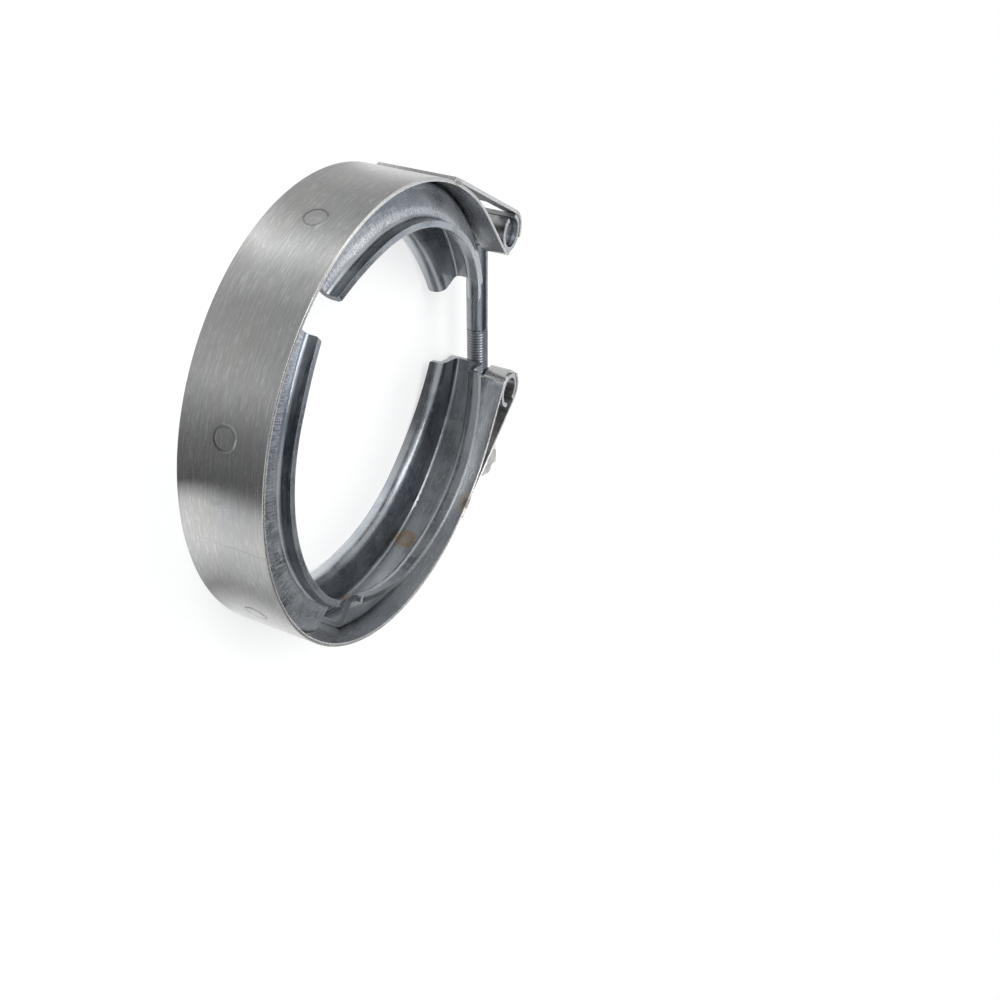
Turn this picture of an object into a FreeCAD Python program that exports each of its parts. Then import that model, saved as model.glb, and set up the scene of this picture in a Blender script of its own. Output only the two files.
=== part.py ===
"""V-band clamp: a sprung outer band, three V-section segments, a T-bolt and its lock nut.

Millimetres. The ring axis is Z and the origin is the middle of the V groove. +X points from the
ring axis to the bolt, and the bolt lies along Y with its T-head towards +Y. The clamp lies on the
edges of the band and of the segments' lips, at z = -BAND_WIDTH / 2.
"""
import FreeCAD, Part
import math
import os

from FreeCAD import Vector

# Outer band
BAND_OUTER_R = 59.0
BAND_THICKNESS = 0.95
BAND_WIDTH = 22.0
STRAP_LAP_GAP = 0.05
STRAP_LAP = 2.6
STRAP_WELD_R = 1.1
STRAP_WELD_SPACING = 7.0

# Band loops round the two sleeves
SLEEVE_OUTER_R = 5.2
SLEEVE_WALL = 1.25
SLEEVE_END_RECESS = 0.2
SLEEVE_SEAM_FROM_DEG = 60.0
SLEEVE_SEAM_TO_DEG = 110.0
SLEEVE_Y = 25.5
SLEEVE_STAND_OFF = 7.1154
LOOP_CLEARANCE = 0.08
LOOP_EDGE_RELIEF = 0.9
RELIEF_FROM_DEG = 255.0
RELIEF_TO_DEG = 326.0
BOLT_SLOT_CLEARANCE = 0.625
BOLT_SLOT_RUN = 12.0
NUT_WINDOW_CLEARANCE = 0.39
NUT_WINDOW_CORNER_R = 1.5
NUT_WINDOW_RUN = 13.0
WINDOW_STEP_DEG = 300.0

# V-section segments
SEGMENT_THICKNESS = 1.6
CROWN_CLEARANCE = 0.07
SEGMENT_DEPTH = 11.4
LIP_LENGTH = 3.5
FLANK_ANGLE_DEG = 20.0
BEND_INSIDE_R = 1.2
LIP_CORNER_R = 0.8
PINCH_SECTIONS = 6
PINCH_POWER = 1.6

# Each segment: its two ends round the ring axis, and how far and over what angle its lips pinch in
UPPER_ENDS_DEG = (12.5, 116.8)
UPPER_PINCH = (3.3, 1.25)
UPPER_PINCH_SPAN_DEG = (40.0, 20.0)
LEFT_ENDS_DEG = (128.2, 227.0)
LEFT_PINCH = (1.3, 1.5)
LEFT_PINCH_SPAN_DEG = (20.0, 20.0)
LOWER_ENDS_DEG = (241.5, 345.2)
LOWER_PINCH = (2.0, 3.0)
LOWER_PINCH_SPAN_DEG = (25.0, 40.0)

# T-bolt and lock nut
BOLT_R = 3.175
THREAD_RELIEF = 0.075
BOLT_LENGTH = 85.5
THREAD_LENGTH = 51.8
BOLT_END_CHAMFER = 0.6
THREAD_RUNOUT = 0.5
HOLE_CLEARANCE = 0.5
TBAR_CLEARANCE = 0.15
TBAR_END_RECESS = 1.5
TBAR_END_CHAMFER = 0.4
NUT_ACROSS_FLATS = 11.1
THREAD_PAST_NUT = 2.0
NUT_HEX_HEIGHT = 6.0
NUT_COLLAR_HEIGHT = 4.0
NUT_COLLAR_BASE_R = 5.1
NUT_COLLAR_TIP_R = 4.3
NUT_CHAMFER_DEG = 30.0
NUT_THREAD_CLEARANCE = 0.08
NUT_BORE_CHAMFER = 0.5

# Sizes worked out from the ones above
HALF_WIDTH = BAND_WIDTH / 2
BAND_INNER_R = BAND_OUTER_R - BAND_THICKNESS
BAND_MID_R = BAND_OUTER_R - BAND_THICKNESS / 2
STRAP_MID_R = BAND_OUTER_R + STRAP_LAP_GAP + BAND_THICKNESS / 2
LOOP_MID_R = SLEEVE_OUTER_R + LOOP_CLEARANCE + BAND_THICKNESS / 2
SLEEVE_INNER_R = SLEEVE_OUTER_R - SLEEVE_WALL
CROWN_MID_R = BAND_INNER_R - CROWN_CLEARANCE - SEGMENT_THICKNESS / 2
LIP_INNER_R = BAND_OUTER_R - SEGMENT_DEPTH
LIP_MID_R = LIP_INNER_R + SEGMENT_THICKNESS / 2
BEND_MID_R = BEND_INSIDE_R + SEGMENT_THICKNESS / 2

SLEEVE_X = math.sqrt((BAND_OUTER_R + SLEEVE_STAND_OFF) ** 2 - SLEEVE_Y ** 2)
THREAD_R = BOLT_R - THREAD_RELIEF
BOLT_END_Y = SLEEVE_Y - BOLT_LENGTH
THREAD_START_Y = BOLT_END_Y + THREAD_LENGTH
NUT_ACROSS_CORNERS = NUT_ACROSS_FLATS / math.cos(math.radians(30))
NUT_FACE_Y = BOLT_END_Y + THREAD_PAST_NUT + NUT_COLLAR_HEIGHT + NUT_HEX_HEIGHT
BOLT_SLOT_WIDTH = 2 * (BOLT_R + BOLT_SLOT_CLEARANCE)
NUT_WINDOW_WIDTH = NUT_ACROSS_CORNERS + 2 * NUT_WINDOW_CLEARANCE

ORIGIN = Vector(0, 0, 0)
AXIS = Vector(0, 0, 1)
SLEEVE_CENTRE = Vector(SLEEVE_X, SLEEVE_Y, 0)


def polar(centre, radius, degrees):
    """Return the point of a circle in a plane of constant z."""
    turn = math.radians(degrees)
    return centre + Vector(radius * math.cos(turn), radius * math.sin(turn), 0)


def unit(degrees):
    """Return the unit vector at an angle from +X."""
    return polar(ORIGIN, 1.0, degrees)


class Run:
    """A straight stretch of a bent strip's middle line."""

    def __init__(self, start, end):
        self.start = start
        self.end = end
        along = (end - start).normalize()
        self.left = AXIS.cross(along)

    def side(self, offset):
        """Return the edge that lies an offset to the left of the stretch."""
        shift = self.left * offset
        return Part.makeLine(self.start + shift, self.end + shift)


class Bend:
    """A round stretch of a bent strip's middle line."""

    def __init__(self, centre, radius, from_deg, to_deg):
        self.centre = centre
        self.radius = radius
        self.from_deg = from_deg
        self.to_deg = to_deg

    def side(self, offset):
        """Return the edge that lies an offset to the left of the stretch."""
        inward = offset if self.to_deg > self.from_deg else -offset
        radius = self.radius - inward
        middle = (self.from_deg + self.to_deg) / 2
        points = [polar(self.centre, radius, turn) for turn in (self.from_deg, middle, self.to_deg)]
        return Part.Arc(*points).toShape()


def strip_face(path, thickness):
    """Return the face of a strip of one thickness that follows a tangent path."""
    left = [piece.side(thickness / 2) for piece in path]
    right = [piece.side(-thickness / 2) for piece in path]
    ends = [
        Part.makeLine(left[0].valueAt(left[0].FirstParameter), right[0].valueAt(right[0].FirstParameter)),
        Part.makeLine(left[-1].valueAt(left[-1].LastParameter), right[-1].valueAt(right[-1].LastParameter)),
    ]
    edges = Part.__sortEdges__(left + right + ends)
    return Part.Face(Part.Wire(edges))


def strip_solid(path, thickness, low_z, high_z):
    """Return the strip that a face makes between two heights."""
    face = strip_face(path, thickness)
    face.translate(Vector(0, 0, low_z))
    return face.extrude(Vector(0, 0, high_z - low_z))


def mirrored(shape):
    """Return the mirror image of a shape across the XZ plane."""
    return shape.mirror(ORIGIN, Vector(0, 1, 0))


def tidy(shape):
    """Return the one solid of a fused or cut shape, with split faces joined."""
    clean = shape.removeSplitter()
    if len(clean.Solids) != 1:
        raise ValueError("expected one solid, got %d" % len(clean.Solids))
    return clean.Solids[0]


def loop_angles():
    """Return the angles at which the strip leaves the ring and at which the strap lands on it."""
    reach = SLEEVE_CENTRE.Length
    bearing = math.degrees(math.atan2(SLEEVE_Y, SLEEVE_X))
    leave = bearing + math.degrees(math.acos((BAND_MID_R + LOOP_MID_R) / reach))
    land = bearing + math.degrees(math.acos((STRAP_MID_R - LOOP_MID_R) / reach))
    return leave, land


LEAVE_DEG, LAND_DEG = loop_angles()
STRAP_END_DEG = LAND_DEG + math.degrees(STRAP_LAP / STRAP_MID_R)


def loop_path(inner_run, strap_run):
    """Return the runs and the bend round the upper sleeve, with the lengths of the two runs.

    The strip comes off the ring, crosses to the side of the loop that faces the gap, wraps the
    sleeve and goes back outside itself as the strap.
    """
    crossing_end = polar(SLEEVE_CENTRE, LOOP_MID_R, LEAVE_DEG + 180)
    crossing_start = crossing_end + unit(LEAVE_DEG + 90) * inner_run
    strap_start = polar(SLEEVE_CENTRE, LOOP_MID_R, LAND_DEG)
    strap_end = strap_start + unit(LAND_DEG + 90) * strap_run
    return [
        Run(crossing_start, crossing_end),
        Bend(SLEEVE_CENTRE, LOOP_MID_R, LEAVE_DEG - 180, LAND_DEG),
        Run(strap_start, strap_end),
    ]


def full_runs():
    """Return the lengths of the crossing run and of the strap's straight run."""
    reach = SLEEVE_CENTRE.Length
    crossing = math.sqrt(reach ** 2 - (BAND_MID_R + LOOP_MID_R) ** 2)
    strap = math.sqrt(reach ** 2 - (STRAP_MID_R - LOOP_MID_R) ** 2)
    return crossing, strap


def bolt_slot_cutter():
    """Return the tool that cuts the round-ended slot through which the bolt reaches the sleeve."""
    half = BOLT_SLOT_WIDTH / 2
    crossing, bend, _ = loop_path(BOLT_SLOT_RUN, NUT_WINDOW_RUN)
    facing = Bend(SLEEVE_CENTRE, LOOP_MID_R, bend.from_deg, WINDOW_STEP_DEG - 360)
    cutter = strip_solid([crossing, facing], BAND_THICKNESS * 2, -half, half)
    return cutter.makeFillet(half * 0.999, end_corners(cutter, crossing.start))


def nut_window_cutter():
    """Return the tool that cuts the window in which the nut reaches the sleeve."""
    half = NUT_WINDOW_WIDTH / 2
    _, bend, strap = loop_path(BOLT_SLOT_RUN, NUT_WINDOW_RUN)
    outer = Bend(SLEEVE_CENTRE, LOOP_MID_R, WINDOW_STEP_DEG - 360, bend.to_deg)
    cutter = strip_solid([outer, strap], BAND_THICKNESS * 2, -half, half)
    return cutter.makeFillet(NUT_WINDOW_CORNER_R, end_corners(cutter, strap.end))


def end_corners(cutter, end):
    """Return the edges of a cutter that cross the strip's thickness at one end of it."""
    corners = []
    for edge in cutter.Edges:
        middle = edge.CenterOfMass
        level = abs(edge.Vertexes[0].Z - edge.Vertexes[-1].Z) < 1e-6
        if level and math.hypot(middle.x - end.x, middle.y - end.y) < 1e-6:
            corners.append(edge)
    return corners


def relief_cutters():
    """Return the tools that narrow the strip where it wraps the sleeve's exposed side."""
    bend = Bend(SLEEVE_CENTRE, LOOP_MID_R, RELIEF_FROM_DEG - 360, RELIEF_TO_DEG - 360)
    spans = (
        (HALF_WIDTH - LOOP_EDGE_RELIEF, HALF_WIDTH + LOOP_EDGE_RELIEF),
        (-HALF_WIDTH - LOOP_EDGE_RELIEF, LOOP_EDGE_RELIEF - HALF_WIDTH),
    )
    return [strip_solid([bend], BAND_THICKNESS * 2, low, high) for low, high in spans]


def strap_welds():
    """Return the spot welds that close the lap between the strap's end and the band."""
    middle_deg = (LAND_DEG + STRAP_END_DEG) / 2
    depth = BAND_THICKNESS
    welds = []
    for z in (-STRAP_WELD_SPACING, 0.0, STRAP_WELD_SPACING):
        foot = polar(Vector(0, 0, z), BAND_MID_R, middle_deg)
        welds.append(Part.makeCylinder(STRAP_WELD_R, depth, foot, unit(middle_deg)))
    return welds


def outer_band():
    """Return the band: one strip with a loop and a lapped strap at each end."""
    crossing, strap = full_runs()
    upper = loop_path(crossing, strap)
    upper.append(Bend(ORIGIN, STRAP_MID_R, LAND_DEG, STRAP_END_DEG))
    loop = strip_solid(upper, BAND_THICKNESS, -HALF_WIDTH, HALF_WIDTH)
    for cutter in [bolt_slot_cutter(), nut_window_cutter()] + relief_cutters():
        loop = loop.cut(cutter)
    ring = strip_solid(
        [Bend(ORIGIN, BAND_MID_R, LEAVE_DEG, 360 - LEAVE_DEG)], BAND_THICKNESS, -HALF_WIDTH, HALF_WIDTH
    )
    pieces = [loop, mirrored(loop)]
    for weld in strap_welds():
        pieces += [weld, mirrored(weld)]
    return tidy(ring.fuse(pieces))


def v_section(pinch):
    """Return the face of the bent sheet in the XZ plane, with its lips pinched in by a length.

    Each lip lies along the axis, each flank rises from it to the crown under the band. Pinching
    moves the lips towards each other and stands the flanks up, with the crown as it was.
    """
    lip_z = HALF_WIDTH - LIP_LENGTH
    crown_z = lip_z - (CROWN_MID_R - LIP_MID_R) * math.tan(math.radians(FLANK_ANGLE_DEG))
    half = [
        Vector(LIP_MID_R, HALF_WIDTH - pinch, 0),
        Vector(LIP_MID_R, lip_z - pinch, 0),
        Vector(CROWN_MID_R, crown_z, 0),
    ]
    other = [Vector(corner.x, -corner.y, 0) for corner in reversed(half)]
    face = strip_face(rounded_path(half + other, BEND_MID_R), SEGMENT_THICKNESS)
    face.rotate(ORIGIN, Vector(1, 0, 0), 90)
    return face


def rounded_path(corners, radius):
    """Return the runs and bends of a line through corners, each rounded to one radius."""
    path = []
    start = corners[0]
    for before, corner, after in zip(corners, corners[1:], corners[2:]):
        arriving = (corner - before).normalize()
        leaving = (after - corner).normalize()
        turn = math.atan2(arriving.cross(leaving).z, arriving.dot(leaving))
        reach = radius * math.tan(abs(turn) / 2)
        bend_start = corner - arriving * reach
        side = math.copysign(1.0, turn)
        centre = bend_start + AXIS.cross(arriving) * (radius * side)
        spoke = bend_start - centre
        from_deg = math.degrees(math.atan2(spoke.y, spoke.x))
        path.append(Run(start, bend_start))
        path.append(Bend(centre, radius, from_deg, from_deg + math.degrees(turn)))
        start = corner + leaving * reach
    path.append(Run(start, corners[-1]))
    return path


def section_at(pinch, degrees):
    """Return the V section turned to an angle round the ring axis."""
    face = v_section(pinch)
    face.rotate(ORIGIN, AXIS, degrees)
    return face


def pinched_end(full_deg, end_deg, pinch):
    """Return the stretch of a segment in which the V closes up, from its full width to its end."""
    wires = []
    for step in range(PINCH_SECTIONS):
        share = step / (PINCH_SECTIONS - 1)
        face = section_at(pinch * share ** PINCH_POWER, full_deg + (end_deg - full_deg) * share)
        wires.append(face.OuterWire)
    return Part.makeLoft(wires, True, False)


def v_segment(ends_deg, pinches, spans_deg):
    """Return a V segment: an arc of full section with a pinched stretch at each end."""
    first_deg = ends_deg[0] + spans_deg[0]
    last_deg = ends_deg[1] - spans_deg[1]
    main = section_at(0, first_deg).revolve(ORIGIN, AXIS, last_deg - first_deg)
    ends = [
        pinched_end(first_deg, ends_deg[0], pinches[0]),
        pinched_end(last_deg, ends_deg[1], pinches[1]),
    ]
    solid = tidy(main.fuse(ends))
    return solid.makeFillet(LIP_CORNER_R, lip_corners(solid, ends_deg))


def lip_corners(solid, ends_deg):
    """Return the edges across the sheet at the free corners of a segment's lips."""
    corners = []
    for edge in solid.Edges:
        middle = edge.CenterOfMass
        at_lip = abs(math.hypot(middle.x, middle.y) - LIP_MID_R) < 0.1
        at_edge = abs(edge.Length - SEGMENT_THICKNESS) < 0.01
        level = abs(edge.Vertexes[0].Z - edge.Vertexes[-1].Z) < 1e-6
        turn = math.degrees(math.atan2(middle.y, middle.x)) % 360
        at_end = any(abs(turn - end) < 0.5 for end in ends_deg)
        if at_lip and at_edge and level and at_end and abs(middle.z) > HALF_WIDTH - LIP_LENGTH - 1:
            corners.append(edge)
    return corners


def v_segment_upper():
    """Return the segment on the T-head's arm of the clamp."""
    return v_segment(UPPER_ENDS_DEG, UPPER_PINCH, UPPER_PINCH_SPAN_DEG)


def v_segment_left():
    """Return the segment opposite the bolt."""
    return v_segment(LEFT_ENDS_DEG, LEFT_PINCH, LEFT_PINCH_SPAN_DEG)


def v_segment_lower():
    """Return the segment on the nut's arm of the clamp."""
    return v_segment(LOWER_ENDS_DEG, LOWER_PINCH, LOWER_PINCH_SPAN_DEG)


def sleeve(through):
    """Return the upper sleeve: a tube with an open seam and a hole for the bolt.

    The hole passes the wall that faces the gap, and with through also the seam's side.
    """
    half = HALF_WIDTH - SLEEVE_END_RECESS
    wall = Bend(
        SLEEVE_CENTRE,
        SLEEVE_OUTER_R - SLEEVE_WALL / 2,
        SLEEVE_SEAM_TO_DEG,
        SLEEVE_SEAM_FROM_DEG + 360,
    )
    tube = strip_solid([wall], SLEEVE_WALL, -half, half)
    reach = SLEEVE_OUTER_R * 2
    foot = SLEEVE_CENTRE + Vector(0, reach if through else 0, 0)
    length = reach * 2 if through else reach
    hole = Part.makeCylinder(BOLT_R + HOLE_CLEARANCE, length, foot, Vector(0, -1, 0))
    return tidy(tube.cut(hole))


def t_bolt():
    """Return the T-bolt: a cross bar in the upper sleeve and a shank with its threaded length."""
    bar_r = SLEEVE_INNER_R - TBAR_CLEARANCE
    bar_half = HALF_WIDTH - SLEEVE_END_RECESS - TBAR_END_RECESS
    bar_profile = [
        Vector(0, 0, -bar_half),
        Vector(bar_r - TBAR_END_CHAMFER, 0, -bar_half),
        Vector(bar_r, 0, TBAR_END_CHAMFER - bar_half),
        Vector(bar_r, 0, bar_half - TBAR_END_CHAMFER),
        Vector(bar_r - TBAR_END_CHAMFER, 0, bar_half),
        Vector(0, 0, bar_half),
    ]
    bar = turned(bar_profile, AXIS)
    bar.translate(SLEEVE_CENTRE)
    shank_profile = [
        Vector(0, SLEEVE_Y, 0),
        Vector(BOLT_R, SLEEVE_Y, 0),
        Vector(BOLT_R, THREAD_START_Y, 0),
        Vector(THREAD_R, THREAD_START_Y - THREAD_RUNOUT, 0),
        Vector(THREAD_R, BOLT_END_Y + BOLT_END_CHAMFER, 0),
        Vector(THREAD_R - BOLT_END_CHAMFER, BOLT_END_Y, 0),
        Vector(0, BOLT_END_Y, 0),
    ]
    shank = turned(shank_profile, Vector(0, 1, 0))
    shank.translate(Vector(SLEEVE_X, 0, 0))
    return tidy(bar.fuse(shank))


def turned(profile, axis):
    """Return the solid of revolution of a closed outline about an axis through the origin."""
    outline = Part.makePolygon(profile + profile[:1])
    return Part.Face(outline).revolve(ORIGIN, axis, 360)


def nut_sleeve():
    """Return the sleeve that the nut pulls on, with a hole right through for the bolt."""
    return mirrored(sleeve(True))


def bolt_sleeve():
    """Return the sleeve round the T-bolt's cross bar, open only where the shank leaves it."""
    return sleeve(False)


def lock_nut():
    """Return the hexagon lock nut with its tapered locking collar, backed off along the bolt."""
    corner_r = NUT_ACROSS_CORNERS / 2
    corners = [Vector(corner_r * math.sin(math.radians(turn)), 0, corner_r * math.cos(math.radians(turn)))
               for turn in range(0, 360, 60)]
    hexagon = Part.Face(Part.makePolygon(corners + corners[:1]))
    body = hexagon.extrude(Vector(0, -NUT_HEX_HEIGHT, 0))
    flat_r = NUT_ACROSS_FLATS / 2
    drop = (corner_r - flat_r) * math.tan(math.radians(NUT_CHAMFER_DEG))
    turned_profile = [
        Vector(0, 0, 0),
        Vector(flat_r, 0, 0),
        Vector(corner_r, -drop, 0),
        Vector(corner_r, drop - NUT_HEX_HEIGHT, 0),
        Vector(flat_r, -NUT_HEX_HEIGHT, 0),
        Vector(0, -NUT_HEX_HEIGHT, 0),
    ]
    body = body.common(turned(turned_profile, Vector(0, 1, 0)))
    collar_profile = [
        Vector(0, -NUT_HEX_HEIGHT, 0),
        Vector(NUT_COLLAR_BASE_R, -NUT_HEX_HEIGHT, 0),
        Vector(NUT_COLLAR_TIP_R, -NUT_HEX_HEIGHT - NUT_COLLAR_HEIGHT, 0),
        Vector(0, -NUT_HEX_HEIGHT - NUT_COLLAR_HEIGHT, 0),
    ]
    body = body.fuse(turned(collar_profile, Vector(0, 1, 0)))
    bore_r = THREAD_R + NUT_THREAD_CLEARANCE
    height = NUT_HEX_HEIGHT + NUT_COLLAR_HEIGHT
    bore_profile = [
        Vector(0, 0, 0),
        Vector(bore_r + NUT_BORE_CHAMFER, 0, 0),
        Vector(bore_r, -NUT_BORE_CHAMFER, 0),
        Vector(bore_r, -height, 0),
        Vector(0, -height, 0),
    ]
    body = body.cut(turned(bore_profile, Vector(0, 1, 0)))
    body.translate(Vector(SLEEVE_X, NUT_FACE_Y, 0))
    return tidy(body)


PIECES = {
    "outer_band": outer_band,
    "v_segment_upper": v_segment_upper,
    "v_segment_left": v_segment_left,
    "v_segment_lower": v_segment_lower,
    "bolt_sleeve": bolt_sleeve,
    "t_bolt": t_bolt,
    "nut_sleeve": nut_sleeve,
    "lock_nut": lock_nut,
}


def main():
    """Write one STEP file for each piece."""
    os.makedirs("parts", exist_ok=True)
    for name, build in PIECES.items():
        solid = build()
        solid.exportStep("parts/%s.step" % name)
        print("%-16s valid %s  volume %9.1f mm3" % (name, solid.isValid(), solid.Volume))


main()
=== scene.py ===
"""The dressed V-band clamp: its bent band strip, pressed segments, T-bolt, sleeves and lock nut.

Everything is in metres in the part's own frame: the ring axis is Z, the origin is the middle of
the V groove, +X points to the bolt and +Y along the bolt to its T-head. The clamp lies on its
lower rim, at z = -11 mm.
"""
from __future__ import annotations

import logging
import math
from dataclasses import dataclass
from enum import Enum
from functools import reduce
from typing import Optional, Sequence, Union

import bmesh
import bpy
from mathutils import Matrix, Vector


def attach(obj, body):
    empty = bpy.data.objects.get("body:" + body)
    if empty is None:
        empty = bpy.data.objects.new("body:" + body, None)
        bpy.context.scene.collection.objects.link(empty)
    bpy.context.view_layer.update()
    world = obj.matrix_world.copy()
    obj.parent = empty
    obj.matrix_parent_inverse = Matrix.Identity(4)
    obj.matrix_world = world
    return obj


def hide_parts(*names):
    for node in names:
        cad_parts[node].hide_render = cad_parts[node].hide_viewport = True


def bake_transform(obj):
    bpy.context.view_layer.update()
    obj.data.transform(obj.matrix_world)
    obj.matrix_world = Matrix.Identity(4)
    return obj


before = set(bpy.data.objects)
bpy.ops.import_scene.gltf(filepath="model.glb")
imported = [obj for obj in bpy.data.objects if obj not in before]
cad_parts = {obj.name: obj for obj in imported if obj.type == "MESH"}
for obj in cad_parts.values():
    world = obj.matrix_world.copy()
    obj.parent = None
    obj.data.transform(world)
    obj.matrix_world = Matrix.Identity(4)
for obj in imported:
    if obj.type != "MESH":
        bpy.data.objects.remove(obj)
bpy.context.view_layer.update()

LOG = logging.getLogger("v_band_clamp")
MM = 0.001
STRIP_MAP = "strip"
HALF_WIDTH = 11.0 * MM
BOLT_X = 61.0 * MM
THREAD_TOP = -6.0 * MM
ROOT_RADIUS = 2.62 * MM
CREST_RADIUS = 3.15 * MM
WALL_RADIUS = 52.0 * MM
CUT_LIMIT = 1e-7

Socket = bpy.types.NodeSocket
Node = bpy.types.Node
Tree = bpy.types.NodeTree
Material = bpy.types.Material
Piece = bpy.types.Object
Shape = bmesh.types.BMesh
Value = Union[float, Sequence[float], "Wire"]
# A surface's colour, roughness and relief.
Look = tuple["Wire", "Wire", "Wire"]
Colour = tuple[float, float, float]
Stops = Sequence[tuple[float, float]]

# The colours laid over the steel: the wear, heat and dirt it really has, painted shade for its creases,
# and painted highlights and glints.
CREASE_SHADE = (0.13, 0.14, 0.15)
RING_LINE = (0.13, 0.13, 0.14)
WELD_HALO = (0.33, 0.33, 0.33)
WARM_CLOUD = (0.52, 0.475, 0.41)
STROKE_GLINT = (0.86, 0.87, 0.87)
CUT_RIM_AND_HIGHLIGHT = (0.80, 0.79, 0.76)
BARE_SCRATCH = (0.85, 0.86, 0.87)
STRAW_HEAT = (0.46, 0.37, 0.25)
BROWN_HEAT = (0.22, 0.19, 0.18)
LIP_BEND_HIGHLIGHT = (0.95, 0.97, 0.99)
TOOL_MARK_GLINT = (0.92, 0.94, 0.96)
WELD_STAIN = (0.29, 0.19, 0.09)
SLEEVE_DIRT = (0.24, 0.22, 0.20)
THREAD_ROOT_DARK = (0.10, 0.10, 0.10)
BOLT_DIRT = (0.28, 0.27, 0.26)
NUT_DIRT = (0.40, 0.37, 0.32)
BEAD_TINT = (0.54, 0.50, 0.43)


class Side(Enum):
    """The two arms of the clamp, with the sign of their Y."""

    UPPER = 1
    LOWER = -1


class Wire:
    """A value in a shader graph. Arithmetic on it adds Math nodes."""

    def __init__(self, graph: Graph, socket: Socket) -> None:
        """Take the value's graph and the socket that gives it."""
        self.graph = graph
        self.socket = socket

    def __add__(self, other: Value) -> Wire:
        """Return the sum."""
        return self.graph.math("ADD", self, other)

    def __sub__(self, other: Value) -> Wire:
        """Return the difference."""
        return self.graph.math("SUBTRACT", self, other)

    def __rsub__(self, other: float) -> Wire:
        """Return what is left of a number."""
        return self.graph.math("SUBTRACT", other, self)

    def __mul__(self, other: Value) -> Wire:
        """Return the product."""
        return self.graph.math("MULTIPLY", self, other)

    def __truediv__(self, other: Value) -> Wire:
        """Return the quotient."""
        return self.graph.math("DIVIDE", self, other)

    def __abs__(self) -> Wire:
        """Return the value without its sign."""
        return self.graph.math("ABSOLUTE", self)

    def most(self, other: Value) -> Wire:
        """Return the larger of two values."""
        return self.graph.math("MAXIMUM", self, other)

    def below(self, level: float) -> Wire:
        """Return 1 where the value is below a level."""
        return self.graph.math("LESS_THAN", self, level)

    def clamped(self) -> Wire:
        """Hold the Math node that gives the value from 0 to 1."""
        self.socket.node.use_clamp = True
        return self

    def remap(self, low: float, high: float, to_low: float = 0.0, to_high: float = 1.0) -> Wire:
        """Return the value smoothly mapped from one range to another and held inside it."""
        inputs = {"Value": self, "From Min": low, "From Max": high, "To Min": to_low, "To Max": to_high}
        return self.graph.wire("MapRange", inputs, "Result", interpolation_type="SMOOTHSTEP")


class Graph:
    """A node tree under construction, with short calls for the nodes that the finishes use."""

    def __init__(self, tree: Tree) -> None:
        """Take a material's, a world's or a group's node tree to build in."""
        self.tree = tree

    def node(self, kind: str, inputs: Optional[dict] = None, **settings: object) -> Node:
        """Add a node.

        Args:
            kind: the node's Blender type name, without the ShaderNode prefix.
            inputs: values or wires by input name or index.
            settings: the node's own properties.

        Returns:
            The new node.
        """
        made = self.tree.nodes.new("ShaderNode" + kind)
        for name, value in settings.items():
            setattr(made, name, value)
        for key, value in (inputs or {}).items():
            self.feed(made.inputs[key], value)
        return made

    def wire(
        self, kind: str, inputs: Optional[dict] = None, output: Union[int, str] = 0, **settings: object
    ) -> Wire:
        """Add a node and return the named or numbered output."""
        return Wire(self, self.node(kind, inputs, **settings).outputs[output])

    def feed(self, socket: Socket, value: Value) -> None:
        """Link a wire into an input, or set the input's own value."""
        if isinstance(value, Wire):
            self.tree.links.new(value.socket, socket)
        elif socket.type == "RGBA":
            socket.default_value = (*value, 1.0)
        else:
            socket.default_value = value

    def math(self, operation: str, first: Value, second: Value = 0.0) -> Wire:
        """Return the result of a Math node."""
        return self.wire("Math", {0: first, 1: second}, operation=operation)

    def vector(self, operation: str, first: Value, second: Value) -> Wire:
        """Return the vector result of a Vector Math node."""
        return self.wire("VectorMath", {0: first, 1: second}, "Vector", operation=operation)

    def length(self, value: Value) -> Wire:
        """Return the length of a vector."""
        return self.wire("VectorMath", {0: value}, "Value", operation="LENGTH")

    def combine(self, x: Value, y: Value, z: Value) -> Wire:
        """Return a vector made of three numbers."""
        return self.wire("CombineXYZ", {0: x, 1: y, 2: z})

    def thrice(self, value: Value) -> Wire:
        """Return one number as a vector or a grey tone."""
        return self.combine(value, value, value)

    def split(self, vector: Value) -> list[Wire]:
        """Return the three numbers of a vector."""
        return [Wire(self, socket) for socket in self.node("SeparateXYZ", {0: vector}).outputs]

    def place(self) -> Wire:
        """Return the place on the piece, in its own frame."""
        return self.wire("TexCoord", output="Object")

    def rotated(self, vector: Value, *angles: float) -> Wire:
        """Return a vector turned by three angles."""
        return self.wire("Mapping", {"Vector": vector, "Rotation": angles})

    def noise(self, vector: Value, detail: float, distortion: float = 0.0, scale: float = 1.0) -> Wire:
        """Return a noise value from 0 to 1."""
        inputs = {"Vector": vector, "Scale": scale, "Detail": detail, "Distortion": distortion}
        return self.wire("TexNoise", inputs, "Fac")

    def mix(self, share: Value, first: Value, second: Value) -> Wire:
        """Return a mix of two colours."""
        return self.wire("Mix", {0: share, 6: first, 7: second}, 2, data_type="RGBA")

    def layered(self, colour: Value, *layers: tuple[Value, Colour]) -> Value:
        """Return a colour with others laid over it in turn, each as far as its mask."""
        return reduce(lambda under, layer: self.mix(layer[0], under, layer[1]), layers, colour)

    def ramp(self, share: Value, stops: Stops) -> Wire:
        """Return a grey tone read from stops of place and tone, with straight runs between them."""
        made = self.node("ValToRGB", {0: share})
        steps = made.color_ramp.elements
        for step, (place, tone) in zip(steps, (stops[0], stops[-1])):
            step.position, step.color = place, (tone, tone, tone, 1.0)
        for place, tone in stops[1:-1]:
            steps.new(place).color = (tone, tone, tone, 1.0)
        return Wire(self, made.outputs["Color"])

    def effect(self, group: Group, **inputs: Value) -> dict[str, Wire]:
        """Place a shared effect with its inputs by name, and return its outputs by name."""
        made = self.node("Group", inputs, node_tree=EFFECTS.tree(group))
        return {socket.name: Wire(self, socket) for socket in made.outputs}


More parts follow.
